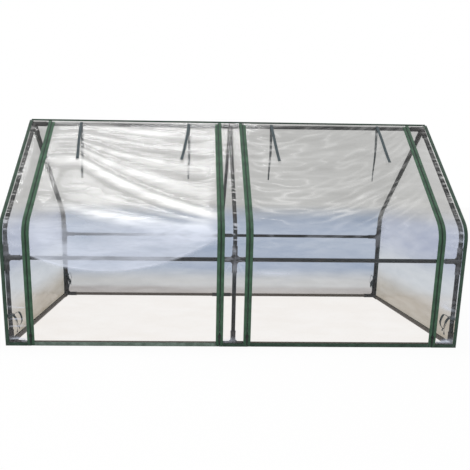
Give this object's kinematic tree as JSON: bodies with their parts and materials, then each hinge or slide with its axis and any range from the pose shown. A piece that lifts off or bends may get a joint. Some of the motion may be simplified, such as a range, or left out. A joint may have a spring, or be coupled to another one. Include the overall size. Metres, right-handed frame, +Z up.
{
  "type": "mini greenhouse",
  "caption": "Low gabled greenhouse of push-fit steel tubes under a clear film cover, with zipped front doors that lift and tie up.",
  "frame": {"origin": "on the ground below the middle of the ridge", "axes": "+X along the ridge, -Y to the front with the doors, +Z up"},
  "size_m": [1.8026, 0.9161, 0.9144],
  "materials": {
    "coated_steel_tube": "satin dark green-grey powder coat",
    "connector_plastic": "moulded, fine matt",
    "clear_film": "clear, creased",
    "green_binding": "woven tape, folded over the seam",
    "zip_tape": "woven zip tape with nylon coil",
    "tie_webbing": "flat woven ribbon",
    "zip_hardware": "dark enamelled die-casting"
  },
  "bodies": {
    "root": {"left_side_base_tube": "coated_steel_tube", "right_side_base_tube": "coated_steel_tube", "front_left_base_tube": "coated_steel_tube", "front_right_base_tube": "coated_steel_tube", "rear_left_base_tube": "coated_steel_tube", "rear_right_base_tube": "coated_steel_tube", "front_purlin_tubes": "coated_steel_tube", "rear_purlin_tubes": "coated_steel_tube", "front_posts": "coated_steel_tube", "rear_posts": "coated_steel_tube", "front_left_rafter": "coated_steel_tube", "front_centre_rafter": "coated_steel_tube", "front_right_rafter": "coated_steel_tube", "rear_left_rafter": "coated_steel_tube", "rear_centre_rafter": "coated_steel_tube", "rear_right_rafter": "coated_steel_tube", "left_ridge_tube": "coated_steel_tube", "right_ridge_tube": "coated_steel_tube", "base_corner_connectors": "connector_plastic", "base_tee_connectors": "connector_plastic", "purlin_tee_connectors": "connector_plastic", "purlin_cross_connectors": "connector_plastic", "ridge_end_connectors": "connector_plastic", "ridge_centre_connector": "connector_plastic", "left_end_panel": "clear_film", "right_end_panel": "clear_film", "rear_panel": "clear_film", "front_left_strip": "clear_film", "front_centre_strip": "clear_film", "front_right_strip": "clear_film", "left_end_binding": "green_binding", "right_end_binding": "green_binding", "ridge_binding": "green_binding", "bottom_hem": "green_binding", "fixed_zip_tapes": "zip_tape", "foot_ties": "tie_webbing"},
    "left_door_upper": {"left_door_upper_film": "clear_film", "left_door_upper_tapes": "zip_tape"},
    "left_door_lower": {"left_door_lower_film": "clear_film", "left_door_lower_bindings": "zip_tape"},
    "right_door_upper": {"right_door_upper_film": "clear_film", "right_door_upper_tapes": "zip_tape"},
    "right_door_lower": {"right_door_lower_film": "clear_film", "right_door_lower_bindings": "zip_tape"},
    "left_outer_outside_strap": {"left_outer_outside_strap": "tie_webbing"},
    "left_outer_inside_strap": {"left_outer_inside_strap": "tie_webbing"},
    "left_inner_outside_strap": {"left_inner_outside_strap": "tie_webbing"},
    "left_inner_inside_strap": {"left_inner_inside_strap": "tie_webbing"},
    "right_inner_outside_strap": {"right_inner_outside_strap": "tie_webbing"},
    "right_inner_inside_strap": {"right_inner_inside_strap": "tie_webbing"},
    "right_outer_outside_strap": {"right_outer_outside_strap": "tie_webbing"},
    "right_outer_inside_strap": {"right_outer_inside_strap": "tie_webbing"},
    "left_outer_zip_slider": {"left_outer_zip_slider": "zip_hardware"},
    "left_outer_zip_pull": {"left_outer_zip_pull": "zip_hardware"},
    "left_inner_zip_slider": {"left_inner_zip_slider": "zip_hardware"},
    "left_inner_zip_pull": {"left_inner_zip_pull": "zip_hardware"},
    "right_inner_zip_slider": {"right_inner_zip_slider": "zip_hardware"},
    "right_inner_zip_pull": {"right_inner_zip_pull": "zip_hardware"},
    "right_outer_zip_slider": {"right_outer_zip_slider": "zip_hardware"},
    "right_outer_zip_pull": {"right_outer_zip_pull": "zip_hardware"}
  },
  "joints": [
    {"name": "left_door_ridge_fold", "type": "hinge", "parent": "root", "child": "left_door_upper", "pos_m": [-0.428, -0.0021, 0.90736], "axis": [-1, 0, 0], "range_deg": [0, 125]},
    {"name": "left_door_eave_fold", "type": "hinge", "parent": "left_door_upper", "child": "left_door_lower", "pos_m": [-0.428, -0.44654, 0.47014], "axis": [-1, 0, 0], "range_deg": [0, 135]},
    {"name": "right_door_ridge_fold", "type": "hinge", "parent": "root", "child": "right_door_upper", "pos_m": [0.428, -0.0021, 0.90736], "axis": [-1, 0, 0], "range_deg": [0, 125]},
    {"name": "right_door_eave_fold", "type": "hinge", "parent": "right_door_upper", "child": "right_door_lower", "pos_m": [0.428, -0.44654, 0.47014], "axis": [-1, 0, 0], "range_deg": [0, 135]},
    {"name": "left_outer_outside_strap_lift", "type": "hinge", "parent": "left_door_upper", "child": "left_outer_outside_strap", "pos_m": [-0.669, -0.00914, 0.90169], "axis": [-1, 0, 0], "range_deg": [0, 110]},
    {"name": "left_outer_inside_strap_swing", "type": "hinge", "parent": "root", "child": "left_outer_inside_strap", "pos_m": [-0.669, -0.0088, 0.897], "axis": [-1, 0, 0], "range_deg": [0, 40]},
    {"name": "left_inner_outside_strap_lift", "type": "hinge", "parent": "left_door_upper", "child": "left_inner_outside_strap", "pos_m": [-0.187, -0.00914, 0.90169], "axis": [-1, 0, 0], "range_deg": [0, 110]},
    {"name": "left_inner_inside_strap_swing", "type": "hinge", "parent": "root", "child": "left_inner_inside_strap", "pos_m": [-0.187, -0.0088, 0.897], "axis": [-1, 0, 0], "range_deg": [0, 40]},
    {"name": "right_inner_outside_strap_lift", "type": "hinge", "parent": "right_door_upper", "child": "right_inner_outside_strap", "pos_m": [0.187, -0.00914, 0.90169], "axis": [-1, 0, 0], "range_deg": [0, 110]},
    {"name": "right_inner_inside_strap_swing", "type": "hinge", "parent": "root", "child": "right_inner_inside_strap", "pos_m": [0.187, -0.0088, 0.897], "axis": [-1, 0, 0], "range_deg": [0, 40]},
    {"name": "right_outer_outside_strap_lift", "type": "hinge", "parent": "right_door_upper", "child": "right_outer_outside_strap", "pos_m": [0.669, -0.00914, 0.90169], "axis": [-1, 0, 0], "range_deg": [0, 110]},
    {"name": "right_outer_inside_strap_swing", "type": "hinge", "parent": "root", "child": "right_outer_inside_strap", "pos_m": [0.669, -0.0088, 0.897], "axis": [-1, 0, 0], "range_deg": [0, 40]},
    {"name": "left_outer_zip_travel", "type": "slide", "parent": "left_door_lower", "child": "left_outer_zip_slider", "axis": [0, 0, 1], "range_m": [0, 0.373]},
    {"name": "left_outer_zip_pull_swing", "type": "hinge", "parent": "left_outer_zip_slider", "child": "left_outer_zip_pull", "pos_m": [-0.801, -0.45925, 0.044], "axis": [-1, 0, 0], "range_deg": [0, 150]},
    {"name": "left_inner_zip_travel", "type": "slide", "parent": "left_door_lower", "child": "left_inner_zip_slider", "axis": [0, 0, 1], "range_m": [0, 0.373]},
    {"name": "left_inner_zip_pull_swing", "type": "hinge", "parent": "left_inner_zip_slider", "child": "left_inner_zip_pull", "pos_m": [-0.055, -0.45925, 0.044], "axis": [-1, 0, 0], "range_deg": [0, 150]},
    {"name": "right_inner_zip_travel", "type": "slide", "parent": "right_door_lower", "child": "right_inner_zip_slider", "axis": [0, 0, 1], "range_m": [0, 0.373]},
    {"name": "right_inner_zip_pull_swing", "type": "hinge", "parent": "right_inner_zip_slider", "child": "right_inner_zip_pull", "pos_m": [0.055, -0.45925, 0.044], "axis": [-1, 0, 0], "range_deg": [0, 150]},
    {"name": "right_outer_zip_travel", "type": "slide", "parent": "right_door_lower", "child": "right_outer_zip_slider", "axis": [0, 0, 1], "range_m": [0, 0.373]},
    {"name": "right_outer_zip_pull_swing", "type": "hinge", "parent": "right_outer_zip_slider", "child": "right_outer_zip_pull", "pos_m": [0.801, -0.45925, 0.044], "axis": [-1, 0, 0], "range_deg": [0, 150]}
  ]
}
